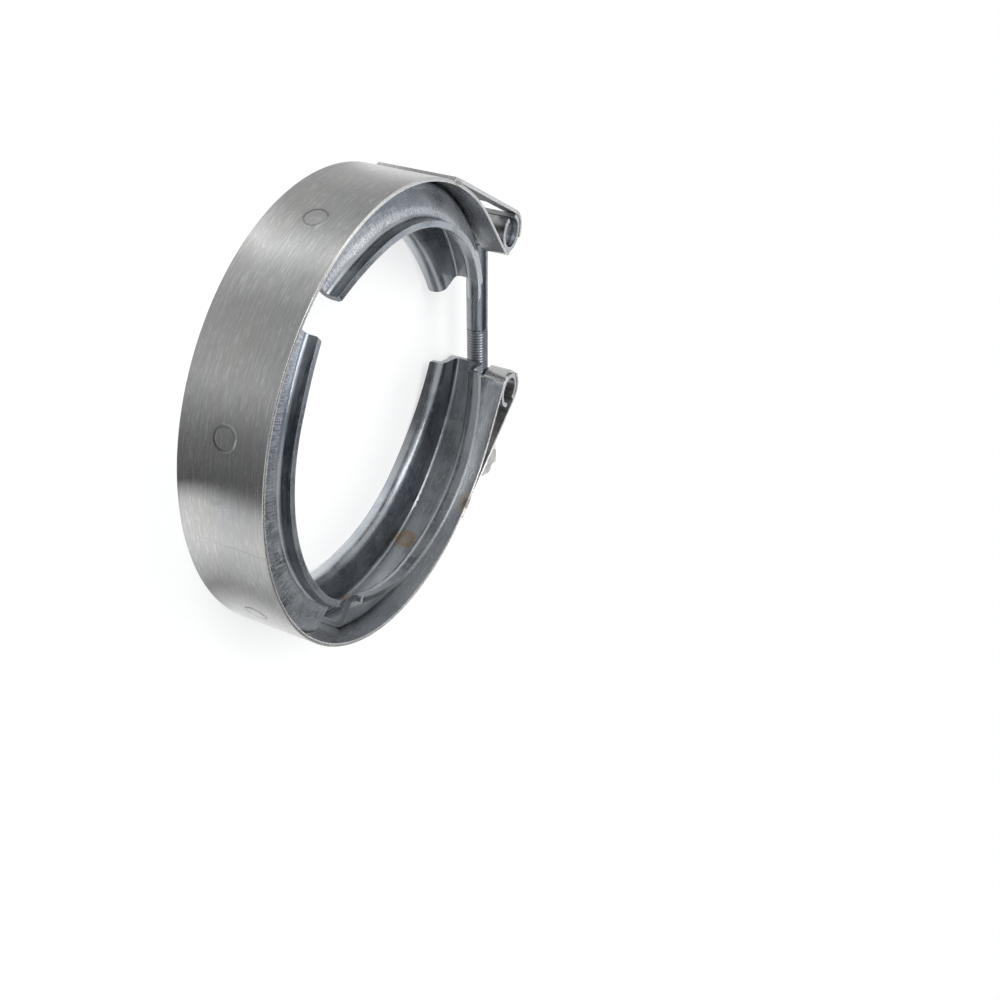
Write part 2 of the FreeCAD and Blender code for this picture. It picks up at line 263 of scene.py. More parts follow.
class Group(Enum):
    """The shared effects, each one node group."""

    GRAIN = "grain"
    CLOUD = "cloud"
    SCRATCH = "scratch"
    EDGE = "edge"
    WELD_SPOT = "weld_spot"
    ROUND_AXIS = "round_axis"


class EffectGraph(Graph):
    """The inside of a shared effect: a node group with named inputs and outputs."""

    VECTORS = ("Vector", "Centre", "Along", "Normal")

    def __init__(self, group: Group, *inputs: str) -> None:
        """Start an effect's node group with the named inputs."""
        super().__init__(bpy.data.node_groups.new(group.value, "ShaderNodeTree"))
        self._sockets("INPUT", inputs)
        source = self.tree.nodes.new("NodeGroupInput")
        self.given = {name: Wire(self, source.outputs[name]) for name in inputs}

    def _sockets(self, way: str, names: Sequence[str]) -> None:
        """Declare inputs or outputs."""
        for name in names:
            kind = "NodeSocketVector" if name in self.VECTORS else "NodeSocketFloat"
            self.tree.interface.new_socket(name=name, in_out=way, socket_type=kind)

    def give(self, **outputs: Wire) -> Tree:
        self._sockets("OUTPUT", list(outputs))
        target = self.tree.nodes.new("NodeGroupOutput")
        for name, value in outputs.items():
            self.feed(target.inputs[name], value)
        return self.tree


class Effects:
    """Builds each shared effect once, when a finish first asks for it."""

    def __init__(self) -> None:
        """Start with no group built."""
        self._built: dict[Group, Tree] = {}

    def tree(self, group: Group) -> Tree:
        """Return an effect's node group."""
        if group not in self._built:
            self._built[group] = getattr(self, "_" + group.value)()
        return self._built[group]

    def _grain(self) -> Tree:
        """Return the brush grain: streaks along X of the given length and width."""
        graph = EffectGraph(Group.GRAIN, "Vector", "Length", "Width")
        place, length, width = graph.given.values()
        stretched = graph.vector("DIVIDE", place, graph.combine(length, width, width))
        fine = graph.noise(stretched, 2.0)
        coarse = graph.noise(graph.vector("MULTIPLY", stretched, (0.35, 0.22, 0.22)), 3.0)
        both = fine * 0.55 + coarse * 0.45
        return graph.give(Grain=both.remap(0.3, 0.7), Height=both)

    def _cloud(self) -> Tree:
        """Return slow blotches and small smudges of a handled surface."""
        graph = EffectGraph(Group.CLOUD, "Vector", "Size")
        place, size = graph.given.values()
        scaled = graph.vector("DIVIDE", place, graph.thrice(size))
        cloud = graph.noise(scaled, 3.0, 0.4)
        spots = graph.noise(graph.vector("MULTIPLY", scaled, (3.1, 3.1, 3.1)), 4.0, 1.2)
        return graph.give(Cloud=cloud.remap(0.3, 0.7), Smudge=spots.remap(0.58, 0.74))

    def _scratch(self) -> Tree:
        """Return thin stray scratches in two slanted directions."""
        graph = EffectGraph(Group.SCRATCH, "Vector", "Spacing")
        place, spacing = graph.given.values()
        scaled = graph.vector("DIVIDE", place, graph.thrice(spacing))
        lines = []
        for turn in (0.35, -0.8):
            stretch = {"Vector": scaled, "Rotation": (0.2, 0.0, turn), "Scale": (0.12, 1.0, 1.0)}
            waves = graph.noise(graph.wire("Mapping", stretch), 1.0, 0.3)
            thin = abs(waves - 0.5).remap(0.0, 0.008, 1.0, 0.0)
            patch = graph.noise(scaled, 1.0, scale=0.4 + abs(turn) * 0.2).remap(0.52, 0.6)
            lines.append(thin * patch)
        return graph.give(Scratch=lines[0].most(lines[1]))

    def _edge(self) -> Tree:
        """Return a broken edge's rounded normal, the edge mask that takes a painted highlight and the
        crease mask that takes painted shade.
        """
        graph = EffectGraph(Group.EDGE, "Radius", "Reach")
        radius, reach = graph.given.values()
        rounded = graph.wire("Bevel", {"Radius": radius}, samples=6)
        flat = graph.wire("NewGeometry", output="Normal")
        facing = graph.wire("VectorMath", {0: rounded, 1: flat}, "Value", operation="DOT_PRODUCT")
        open_sky = graph.wire("AmbientOcclusion", {"Distance": reach}, "AO", samples=6, only_local=True)
        crease = open_sky.remap(0.5, 0.82, 1.0, 0.0)
        return graph.give(Normal=rounded, Edge=facing.remap(0.985, 0.86), Crease=crease)

    def _weld_spot(self) -> Tree:
        """Return the ring that a spot-weld electrode leaves, its dished inside and its faint halo."""
        graph = EffectGraph(Group.WELD_SPOT, "Vector", "Centre", "Radius")
        place, centre, radius = graph.given.values()
        away = graph.length(graph.vector("SUBTRACT", place, centre))
        wobble = (graph.noise(place, 1.0, scale=420.0) - 0.5) * 0.16
        share = away / radius + wobble
        return graph.give(
            Ring=abs(share - 1.0).remap(0.03, 0.17, 1.0, 0.0),
            Inside=share.remap(0.86, 1.06, 1.0, 0.0),
            Halo=share.remap(1.0, 2.1, 1.0, 0.0),
        )

    def _round_axis(self) -> Tree:
        """Return the length round the Z axis, the distance from it and the height, as one vector."""
        graph = EffectGraph(Group.ROUND_AXIS, "Vector", "Radius")
        place, radius = graph.given.values()
        x, y, z = graph.split(place)
        turn = graph.math("ARCTAN2", y, x)
        distance = graph.math("SQRT", x * x + y * y)
        along = graph.combine(turn * radius, distance, z)
        return graph.give(Along=along, Distance=distance, Degrees=graph.math("DEGREES", turn))


EFFECTS = Effects()


@dataclass(frozen=True)
class Finish:
    """What every steel finish of the clamp shares."""

    name: str
    colour: Colour
    dark: Colour
    roughness: tuple[float, float] = (0.26, 0.42)
    edge_radius: float = 0.16 * MM
    bump: float = 0.02 * MM
    crease_reach: float = 1.1 * MM
    crease: float = 0.5
    edge_highlight: float = 0.5
    edge_highlight_gain: float = 1.2

    def material(self) -> Material:
        """Return the finish's material, with its edges broken, a painted highlight on its edges and
        painted shade in its creases.
        """
        material = bpy.data.materials.new(self.name)
        material.use_nodes = True
        graph = Graph(material.node_tree)
        shader = material.node_tree.nodes["Principled BSDF"]
        shader.inputs["Metallic"].default_value = 1.0
        colour, rough, height = self.surface(graph, shader)
        edge = graph.effect(Group.EDGE, Radius=self.edge_radius, Reach=self.crease_reach)
        # Painted highlight: the rounded edges are lightened towards a brighter copy of the finish's
        # colour.
        bright = tuple(min(1.0, channel * self.edge_highlight_gain) for channel in self.colour)
        # Painted shade: the creases that ambient occlusion finds are darkened.
        colour = graph.layered(
            colour, (edge["Crease"] * self.crease, CREASE_SHADE), (edge["Edge"] * self.edge_highlight, bright)
        )
        relief = {"Height": height, "Normal": edge["Normal"], "Distance": self.bump, "Strength": 1.0}
        graph.feed(shader.inputs["Base Color"], colour)
        graph.feed(shader.inputs["Roughness"], rough.remap(0.0, 1.0, *self.roughness))
        graph.feed(shader.inputs["Normal"], graph.wire("Bump", relief))
        return material

    def surface(self, graph: Graph, shader: Node) -> Look:
        """Return the colour, the roughness from 0 to 1 and the relief in bump distances."""
        raise NotImplementedError

    def tones(self, graph: Graph, share: Value) -> Wire:
        """Return the mix from the finish's dark tone to its light one."""
        return graph.mix(share, self.dark, self.colour)


@dataclass(frozen=True)
class BrushedStrip(Finish):
    """The band strip: brushed along its length, with the marks of its spot welds."""

    weld_places: tuple[float, ...] = ()
    weld_radius: float = 2.65 * MM
    weld_across: float = 0.6 * MM
    tack_place: float = 122.6 * MM
    tack_shift: float = 3.4 * MM
    tack_rim: float = 10.6 * MM
    brushed: float = 0.65
    stroke_slant: float = -0.03
    rim_starts: float = 10.86 * MM
    rim_whole: float = 10.96 * MM

    def surface(self, graph: Graph, shader: Node) -> Look:
        """Return colour, roughness and relief, which follow the strip's own map."""
        shader.inputs["Anisotropic"].default_value = self.brushed
        shader.inputs["Anisotropic Rotation"].default_value = 0.25
        tangent = graph.wire("Tangent", direction_type="UV_MAP", uv_map=STRIP_MAP)
        graph.feed(shader.inputs["Tangent"], tangent)
        place = graph.wire("UVMap", uv_map=STRIP_MAP)
        slanted = graph.rotated(place, 0.0, 0.0, self.stroke_slant)
        stretched = graph.vector("MULTIPLY", place, (0.45, 1.6, 1.0))
        grain = graph.effect(Group.GRAIN, Vector=place, Length=6 * MM, Width=0.10 * MM)
        strokes = graph.effect(Group.GRAIN, Vector=slanted, Length=2.1 * MM, Width=0.10 * MM)
        cloud = graph.effect(Group.CLOUD, Vector=place, Size=22 * MM)
        warmth = graph.effect(Group.CLOUD, Vector=stretched, Size=13 * MM)["Cloud"]
        scratch = graph.effect(Group.SCRATCH, Vector=place, Spacing=1.6 * MM)["Scratch"]
        ring, inside, halo = self._welds(graph, place)
        # The band's cut rims get their own pale tone, lightened further as a painted highlight.
        rim = abs(graph.split(place)[1]).remap(self.rim_starts, self.rim_whole)
        share = grain["Grain"] * 0.35 + strokes["Grain"] * 0.4
        share = share + cloud["Cloud"] * 0.3 + cloud["Smudge"] * -0.15
        # Painted glints: the brush strokes are lightened in flecks, standing in for reflections off
        # their grooves.
        stroke_glints = strokes["Grain"].remap(0.64, 0.92) * cloud["Cloud"].remap(0.2, 0.7, 0.15, 0.5)
        colour = graph.layered(
            self.tones(graph, share.clamped()), (warmth * 0.22, WARM_CLOUD), (halo * 0.15, WELD_HALO),
            (ring * 0.6, RING_LINE), (stroke_glints, STROKE_GLINT), (rim * 0.85, CUT_RIM_AND_HIGHLIGHT),
            *self._heat(graph, place), (scratch * 0.35, BARE_SCRATCH),
        )
        rough = grain["Grain"] * 0.5 + cloud["Smudge"] * 0.4 + inside * 0.08
        height = grain["Height"] + strokes["Height"] + scratch * -0.5 + ring * -10.0 + inside * -15.0
        return colour, rough.clamped(), height * (1.0 - rim)

    def _heat(self, graph: Graph, place: Wire) -> tuple[tuple[Wire, Colour], ...]:
        """Return the layers of straw and brown tint round the tacks at both rims."""
        x, y, _ = graph.split(place)
        along = abs(x) - (x.remap(-MM, MM, self.tack_shift, 0.0) + self.tack_place)
        away = graph.length(graph.combine(along * 0.7, abs(y) - self.tack_rim, 0.0))
        ragged = away + graph.noise(place, 2.0, scale=900.0) * (1.2 * MM)
        on_lower = x.remap(-MM, MM, 1.0, 0.3)
        straw = ragged.remap(1.0 * MM, 4.2 * MM, 0.75, 0.0) * on_lower
        brown = ragged.remap(0.8 * MM, 2.2 * MM, 0.7, 0.0) * on_lower
        return (straw, STRAW_HEAT), (brown, BROWN_HEAT)

    def _welds(self, graph: Graph, place: Wire) -> list[Wire]:
        """Return the rings, insides and halos of all the weld spots on the strip."""
        centres = [(along, self.weld_across, 0.0) for along in self.weld_places]
        size = {"Vector": place, "Radius": self.weld_radius}
        spots = [graph.effect(Group.WELD_SPOT, Centre=centre, **size) for centre in centres]
        return [reduce(Wire.most, [spot[name] for spot in spots]) for name in ("Ring", "Inside", "Halo")]


@dataclass(frozen=True)
class PressedSheet(Finish):
    """The V segments: sheet pressed to shape, drawn smooth on the flanks and chattered at the lips."""

    heat: bool = False
    mark_reach: float = 2.8 * MM
    mark_least: float = 0.06
    lip_bend_highlight: float = 0.95
    bend_radius: float = 51.2 * MM
    highlight_radius: float = 50.8 * MM
    stains: tuple[tuple[tuple[float, float, float], float], ...] = (
        ((0.01526, -0.0543, -0.0008), 3.9 * MM),
        ((-0.0137, -0.0547, -0.0021), 2.6 * MM),
        ((0.0333, -0.0456, 0.0092), 2.4 * MM),
    )

    def surface(self, graph: Graph, shader: Node) -> Look:
        """Return colour, roughness and relief, which follow the round of the ring."""
        place = graph.place()
        ring = graph.effect(Group.ROUND_AXIS, Vector=place, Radius=WALL_RADIUS)
        grain = graph.effect(Group.GRAIN, Vector=ring["Along"], Length=9 * MM, Width=0.16 * MM)
        cloud = graph.effect(Group.CLOUD, Vector=place, Size=9 * MM)
        scratch = graph.effect(Group.SCRATCH, Vector=ring["Along"], Spacing=1.1 * MM)["Scratch"]
        chatter = self._chatter(graph, ring)
        share = grain["Grain"] * 0.4 + cloud["Cloud"] * 0.5 + cloud["Smudge"] * -0.12
        colour = graph.layered(
            # A painted highlight is laid where the flank bends into the lip.
            self.tones(graph, share.clamped()), (self._lip_bend_highlight(graph, ring), LIP_BEND_HIGHLIGHT),
            # The tool marks are real relief; their colour, lightened almost to white, is a painted
            # glint.
            (chatter * 0.75, TOOL_MARK_GLINT), (scratch * 0.45, BARE_SCRATCH),
        )
        if self.heat:
            colour = self._stained(graph, place, colour)
        rough = cloud["Cloud"] * 0.5 + grain["Grain"] * 0.35 + chatter * 0.3
        height = grain["Height"] + cloud["Cloud"] * 0.6 + chatter * 0.9 + scratch * -0.6
        return colour, rough.clamped(), height

    def _flecked(self, graph: Graph, ring: dict[str, Wire], *size_mm: float) -> Wire:
        """Return the place round the ring in units of a fleck's length, radius and height."""
        return graph.vector("DIVIDE", ring["Along"], [side * MM for side in size_mm])

    def _chatter(self, graph: Graph, ring: dict[str, Wire]) -> Wire:
        """Return the cross marks that the press tool leaves on the flanks, strongest at the lip bend."""
        lines = graph.noise(self._flecked(graph, ring, 0.24, 2.4, 2.4), 2.0, 0.2)
        lines = lines.remap(0.43, 0.63) * 0.85
        specks = graph.noise(self._flecked(graph, ring, 0.32, 0.42, 0.42), 1.0).remap(0.62, 0.70)
        off_bend = abs(ring["Distance"] - self.bend_radius)
        flank = off_bend.remap(0.7 * MM, self.mark_reach, 1.0, self.mark_least)
        flank = flank * ring["Distance"].remap(49.8 * MM, 50.4 * MM) * self._outside(graph, ring)
        patches = graph.noise(self._flecked(graph, ring, 14, 14, 14), 2.0).remap(0.3, 0.55, 0.35, 1.0)
        return lines.most(specks) * flank * patches

    def _lip_bend_highlight(self, graph: Graph, ring: dict[str, Wire]) -> Wire:
        """Return the painted highlight, speckled with grit, where the flank bends into the lip."""
        off_band = abs(ring["Distance"] - self.highlight_radius)
        grit = graph.noise(self._flecked(graph, ring, 0.34, 0.46, 0.46), 2.0)
        grit = grit.remap(0.42, 0.62, 0.35, 1.0)
        return off_band.remap(0.3 * MM, 1.3 * MM, self.lip_bend_highlight, 0.0) * grit * self._outside(graph, ring)

    def _outside(self, graph: Graph, ring: dict[str, Wire]) -> Wire:
        """Return 1 on the faces that look away from the groove's middle plane, and 0 inside it."""
        height = graph.split(ring["Along"])[2]
        facing = graph.split(graph.wire("NewGeometry", output="Normal"))[2]
        return (graph.math("SIGN", height) * facing).remap(0.1, 0.4)

    def _stained(self, graph: Graph, place: Wire, colour: Value) -> Value:
        """Return the colour with the brown heat stains of the lower segment's welds."""
        for centre, size in self.stains:
            away = graph.length(graph.vector("SUBTRACT", place, centre))
            ragged = away + (graph.noise(place, 3.0, scale=700.0) - 0.5) * (2.2 * MM)
            pale_middle = ragged.remap(size * 0.2, size * 0.75, 0.55, 1.0)
            patch = ragged.remap(size * 0.55, size, 1.0, 0.0) * pale_middle
            colour = graph.mix(patch * 0.85, colour, WELD_STAIN)
        return colour


@dataclass(frozen=True)
class RolledSleeve(Finish):
    """The sleeves: rolled sheet with its grain along the tube."""

    def surface(self, graph: Graph, shader: Node) -> Look:
        """Return colour, roughness and relief, which follow the tube's length."""
        place = graph.place()
        lengthways = graph.rotated(place, 0.0, math.pi / 2, 0.0)
        grain = graph.effect(Group.GRAIN, Vector=lengthways, Length=5 * MM, Width=0.12 * MM)
        cloud = graph.effect(Group.CLOUD, Vector=place, Size=3.5 * MM)
        share = (grain["Grain"] * 0.5 + cloud["Cloud"] * 0.5).clamped()
        colour = graph.mix(cloud["Smudge"] * 0.4, self.tones(graph, share), SLEEVE_DIRT)
        return colour, share, grain["Height"] + cloud["Cloud"]


@dataclass(frozen=True)
class RolledThread(Finish):
    """The T-bolt: drawn bar, with a rolled thread that is bright on its crests and dark in its roots."""

    def surface(self, graph: Graph, shader: Node) -> Look:
        """Return colour, roughness and relief, which read the distance from the bolt's axis."""
        place = graph.place()
        lengthways = graph.rotated(place, 0.0, 0.0, math.pi / 2)
        grain = graph.effect(Group.GRAIN, Vector=lengthways, Length=6 * MM, Width=0.10 * MM)
        cloud = graph.effect(Group.CLOUD, Vector=place, Size=2.6 * MM)
        share = (grain["Grain"] * 0.5 + cloud["Cloud"] * 0.5).clamped()
        radius, along = from_bolt(graph, place)
        # Darker towards the roots of the thread, read from the distance to the bolt's axis.
        root_dark = radius.remap(ROOT_RADIUS, CREST_RADIUS, 1.0, 0.0) * along.below(THREAD_TOP) * 0.7
        colour = graph.layered(
            self.tones(graph, share), (root_dark, THREAD_ROOT_DARK), (cloud["Smudge"] * 0.3, BOLT_DIRT)
        )
        return colour, (root_dark * 0.6 + grain["Grain"] * 0.5).clamped(), grain["Height"]


@dataclass(frozen=True)
class SatinNut(Finish):
    """The lock nut: pale satin with turning rings round the bolt's axis."""

    def surface(self, graph: Graph, shader: Node) -> Look:
        """Return colour, roughness and relief, which ring the bolt's axis."""
        place = graph.place()
        radius, along = from_bolt(graph, place)
        rings = graph.combine(0.0, radius * 7.0, along * 2.0)
        grain = graph.effect(Group.GRAIN, Vector=rings, Length=2 * MM, Width=0.5 * MM)
        cloud = graph.effect(Group.CLOUD, Vector=place, Size=2.4 * MM)
        share = (grain["Grain"] * 0.4 + cloud["Cloud"] * 0.6).clamped()
        colour = graph.mix(cloud["Smudge"] * 0.3, self.tones(graph, share), NUT_DIRT)
        return colour, share, grain["Height"] + cloud["Cloud"]


@dataclass(frozen=True)
class WeldBead(Finish):
    """The tack beads at the strap's end: rough, with ripples and a heat tint."""

    def surface(self, graph: Graph, shader: Node) -> Look:
        """Return colour, roughness and relief, all from the same lumps."""
        place = graph.place()
        lumps = graph.noise(place, 4.0, 0.8, scale=1600.0)
        tint = graph.noise(place, 2.0, scale=500.0).remap(0.4, 0.62)
        return graph.mix(tint * 0.6, self.tones(graph, lumps), BEAD_TINT), lumps, lumps


def from_bolt(graph: Graph, place: Wire) -> tuple[Wire, Wire]:
    """Return the distance from the bolt's axis and the place along it."""
    x, y, z = graph.split(graph.vector("SUBTRACT", place, (BOLT_X, 0.0, 0.0)))
    return graph.length(graph.combine(x, 0.0, z)), y


@dataclass(frozen=True)
class Straight:
    """A straight stretch of the strip's middle line."""

    start: Vector
    end: Vector

    @property
    def length(self) -> float:
        """Return the stretch's length."""
        return (self.end - self.start).length

    def at(self, along: float) -> tuple[Vector, Vector]:
        """Return the point at a length along the stretch, and the direction to its left."""
        direction = (self.end - self.start).normalized()
        return self.start + direction * along, Vector((-direction.y, direction.x, 0.0))


@dataclass(frozen=True)
class Round:
    """A round stretch of the strip's middle line, which may turn either way."""

    centre: Vector
    radius: float
    from_deg: float
    to_deg: float

    @property
    def length(self) -> float:
        """Return the stretch's length."""
        return self.radius * math.radians(abs(self.to_deg - self.from_deg))

    def at(self, along: float) -> tuple[Vector, Vector]:
        """Return the point at a length along the stretch, and the direction to its left."""
        way = 1.0 if self.to_deg > self.from_deg else -1.0
        turn = math.radians(self.from_deg) + way * along / self.radius
        spoke = Vector((math.cos(turn), math.sin(turn), 0.0))
        return self.centre + spoke * self.radius, spoke * -way


Path = list[Union[Straight, Round]]


@dataclass(frozen=True)
class BandStrip:
    """One half of the band: a flat blank with its slots punched, bent round the ring and a sleeve.

    The strip runs from the seam opposite the bolt round the ring, crosses to the gap side of the
    loop, wraps the sleeve and comes back over itself as the strap.
    """

    ring_radius: float = 58.525 * MM
    strap_radius: float = 59.525 * MM
    thickness: float = 0.95 * MM
    sleeve_y: float = 25.5 * MM
    loop_radius: float = 5.755 * MM
    seam_deg: float = 180.0
    strap_lap: float = 2.6 * MM
    slot_width: float = 7.6 * MM
    slot_run: float = 12.0 * MM
    slot_round: float = 0.995
    window_width: float = 13.6 * MM
    window_run: float = 13.0 * MM
    window_corner: float = 1.5 * MM
    step_deg: float = -60.0
    relief: float = 0.9 * MM
    relief_deg: tuple[float, float] = (-105.0, -34.0)
    relief_corner: float = 0.35 * MM
    edge_break: float = 0.14 * MM
    edge_deg: float = 50.0
    ring_step: float = 1.5 * MM
    loop_step: float = 0.5 * MM
    straight_step: float = 4.0 * MM
    short_run: float = 25.0 * MM
    seam_line: float = 0.08 * MM
    hinge_deg: tuple[float, float] = (128.2, 116.8)
    weld_degs: tuple[float, ...] = (155.4, 104.6, 53.5)
    overrun: float = 1.0 * MM

    def path(self) -> Path:
        """Return the stretches of the strip's middle line, from the seam to the strap's end."""
        origin, sleeve = Vector((0.0, 0.0, 0.0)), Vector((BOLT_X, self.sleeve_y, 0.0))
        reach = math.hypot(BOLT_X, self.sleeve_y)
        bearing = math.degrees(math.atan2(self.sleeve_y, BOLT_X))
        leave = bearing + math.degrees(math.acos((self.ring_radius + self.loop_radius) / reach))
        land = bearing + math.degrees(math.acos((self.strap_radius - self.loop_radius) / reach))
        lap = math.degrees(self.strap_lap / self.strap_radius)
        ring = Round(origin, self.ring_radius, self.seam_deg, leave)
        bend = Round(sleeve, self.loop_radius, leave - 180.0, land)
        strap = Round(origin, self.strap_radius, land, land + lap)
        crossing = Straight(ring.at(ring.length)[0], bend.at(0.0)[0])
        back = Straight(bend.at(bend.length)[0], strap.at(0.0)[0])
        return [ring, crossing, bend, back, strap]

    def weld_places(self) -> tuple[float, ...]:
        """Return the lengths along the strip at which it is spot-welded to the segments."""
        return tuple(self.ring_radius * math.radians(self.seam_deg - turn) for turn in self.weld_degs)

    def build(self, side: Side) -> Piece:
        """Return one half of the band.

        Args:
            side: the arm that the half belongs to.

        Returns:
            The strip's object, bent and in place.
        """
        path = self.path()
        blank = self._blank(path)
        mesh = blank.data
        shape = bmesh.new()
        shape.from_mesh(mesh)
        for edge in cut_across(shape, (0.0, 0.0, 0.0), (1.0, 0.0, 0.0), clear_inner=True, close=True):
            edge.smooth = False
        self._crease_lines(shape, path)
        self._map(shape, side)
        self._bend(shape, path, side)
        if side is Side.LOWER:
            bmesh.ops.reverse_faces(shape, faces=shape.faces)
        smooth_faces(shape)
        shape.to_mesh(mesh)
        shape.free()
        blank.name = "band_strip_" + side.name.lower()
        mesh.name = blank.name
        even_normals(blank)
        return blank

    def _blank(self, path: Path) -> Piece:
        """Return the flat blank: a bar of strip with its slot, window and reliefs punched out."""
        total = sum(stretch.length for stretch in path)
        bend = path[2]
        start = path[0].length + path[1].length

        def on_bend(turn: float) -> float:
            """Return the length along the strip of an angle in the loop."""
            return start + (turn - bend.from_deg) * (bend.length / (bend.to_deg - bend.from_deg))

        low = (-self.overrun, -HALF_WIDTH, -self.thickness / 2)
        strip = rounded_block("blank", low, (total, HALF_WIDTH, self.thickness / 2), 0.0)
        step, slot, window = on_bend(self.step_deg), self.slot_width / 2, self.window_width / 2
        slot_end = step + self.window_corner
        window_end = start + bend.length + self.window_run
        punches = [
            self._punch(start - self.slot_run, slot_end, (-slot, slot), slot * self.slot_round),
            self._punch(step, window_end, (-window, window), self.window_corner, square=True),
        ]
        notch = [on_bend(turn) for turn in self.relief_deg]
        for rim in (-HALF_WIDTH, HALF_WIDTH):
            across = (rim - self.relief, rim + self.relief)
            punches.append(self._punch(*notch, across, self.relief_corner))
        for punch in punches:
            cut = strip.modifiers.new("punch", "BOOLEAN")
            cut.object = punch
            cut.solver = "EXACT"
        broken = strip.modifiers.new("broken_edges", "BEVEL")
        broken.width = self.edge_break
        broken.segments = 2
        broken.limit_method = "ANGLE"
        broken.angle_limit = math.radians(self.edge_deg)
        broken.use_clamp_overlap = False
        apply_modifiers(strip)
        for punch in punches:
            bpy.data.objects.remove(punch)
        return strip

    def _punch(
        self, start: float, end: float, across: tuple[float, float], corner: float, square: bool = False
    ) -> Piece:
        """Return a punch with rounded corners, which may be square at its start."""
        return rounded_block("punch", (start, across[0], -MM), (end, across[1], MM), corner, square)

    def _crease_lines(self, shape: Shape, path: Path) -> None:
        """Cut the blank across at every line where it will bend."""
        lines = [self.seam_line]
        start = 0.0
        for stretch in path:
            step = self.loop_step if stretch.length < self.short_run else self.ring_step
            if isinstance(stretch, Straight):
                step = self.straight_step
            count = max(1, round(stretch.length / step))
            lines += [start + stretch.length * part / count for part in range(count)]
            start += stretch.length
        for line in sorted(lines):
            if line > 0.0:
                cut_across(shape, (line, 0.0, 0.0), (1.0, 0.0, 0.0))

    def _map(self, shape: Shape, side: Side) -> None:
        """Give the strip its own map, in metres along and across the flat blank."""
        layer = shape.loops.layers.uv.new(STRIP_MAP)
        for face in shape.faces:
            for corner in face.loops:
                spot = corner.vert.co
                corner[layer].uv = (spot.x * side.value, spot.y)

    def _bend(self, shape: Shape, path: Path, side: Side) -> None:
        """Bend the blank along the path."""
        for vert in shape.verts:
            along = vert.co.x
            for stretch in path[:-1]:
                if along <= stretch.length:
                    break
                along -= stretch.length
            else:
                stretch = path[-1]
            point, left = stretch.at(along)
            place = point + left * vert.co.z
            vert.co = Vector((place.x, place.y * side.value, vert.co.y))

    def hinge(self, side: Side) -> list[tuple[float, float, float]]:
        """Return the two points between which the strip flexes as its arm closes."""
        origin = Vector((0.0, 0.0, 0.0))
        rays = [Round(origin, self.ring_radius, turn, turn + 1.0) for turn in self.hinge_deg]
        return [(ray.at(0.0)[0].x, ray.at(0.0)[0].y * side.value, 0.0) for ray in rays]


def rounded_block(
    name: str, low: Sequence[float], high: Sequence[float], corner: float, square_start: bool = False
) -> Piece:
    """Return a bar whose upright corners may be rounded, with its place in its mesh.

    Args:
        name: the object's name.
        low: its lowest corner.
        high: its highest corner.
        corner: the radius of the upright corners, or 0.
        square_start: leave the corners at the low X end square.

    Returns:
        The bar's object.
    """
    shape = bmesh.new()
    bmesh.ops.create_cube(shape, size=1.0)
    size = [b - a for a, b in zip(low, high)]
    middle = Vector([(a + b) / 2 for a, b in zip(low, high)])
    bmesh.ops.scale(shape, vec=size, verts=shape.verts)
    bmesh.ops.translate(shape, vec=middle, verts=shape.verts)
    if corner > 0.0:
        ends = [(edge, edge.verts[0].co, edge.verts[1].co) for edge in shape.edges]
        upright = [edge for edge, one, other in ends if abs(one.z - other.z) > size[2] / 2]
        if square_start:
            upright = [edge for edge in upright if edge.verts[0].co.x > middle.x]
        rounding = {"offset": corner, "segments": 10, "profile": 0.5, "affect": "EDGES", "material": -1}
        bmesh.ops.bevel(shape, geom=upright, **rounding)
    return object_from(shape, name)


def cut_across(
    shape: Shape, point: Sequence[float], normal: Sequence[float], close: bool = False, **clear: bool
) -> list[bmesh.types.BMEdge]:
    """Cut a shape with a plane.

    Args:
        shape: the bmesh to cut.
        point: a point of the plane.
        normal: the plane's normal.
        close: fill the cut with a face.
        clear: clear_inner or clear_outer, to drop one side.

    Returns:
        The edges of the cut.
    """
    parts = shape.verts[:] + shape.edges[:] + shape.faces[:]
    plane = {"plane_co": point, "plane_no": normal}
    cut = bmesh.ops.bisect_plane(shape, geom=parts, dist=CUT_LIMIT, **plane, **clear)
    rim = [piece for piece in cut["geom_cut"] if isinstance(piece, bmesh.types.BMEdge)]
    if close:
        bmesh.ops.edgeloop_fill(shape, edges=rim)
    return rim


def smooth_faces(shape: Shape) -> None:
    """Shade every face of a shape smooth."""
    for face in shape.faces:
        face.smooth = True


def even_normals(piece: Piece) -> None:
    """Let a piece's large faces set the shading where they meet small ones."""
    piece.modifiers.new("even_faces", "WEIGHTED_NORMAL").keep_sharp = True


def object_from(shape: Shape, name: str) -> Piece:
    """Return a linked object made of a finished bmesh."""
    mesh = bpy.data.meshes.new(name)
    shape.to_mesh(mesh)
    shape.free()
    return linked(name, mesh)


def linked(name: str, data: bpy.types.ID) -> Piece:
    """Return a new object with the given data, in the scene."""
    made = bpy.data.objects.new(name, data)
    bpy.context.scene.collection.objects.link(made)
    return made


def apply_modifiers(piece: Piece) -> None:
    """Give a piece the mesh that its modifiers make, and drop them."""
    bpy.context.view_layer.update()
    made = bpy.data.meshes.new_from_object(piece.evaluated_get(bpy.context.evaluated_depsgraph_get()))
    piece.modifiers.clear()
    piece.data = made


def dress(piece: Piece, material: Material) -> None:
    """Give a piece one material in all its slots."""
    piece.data.materials.clear()
    piece.data.materials.append(material)


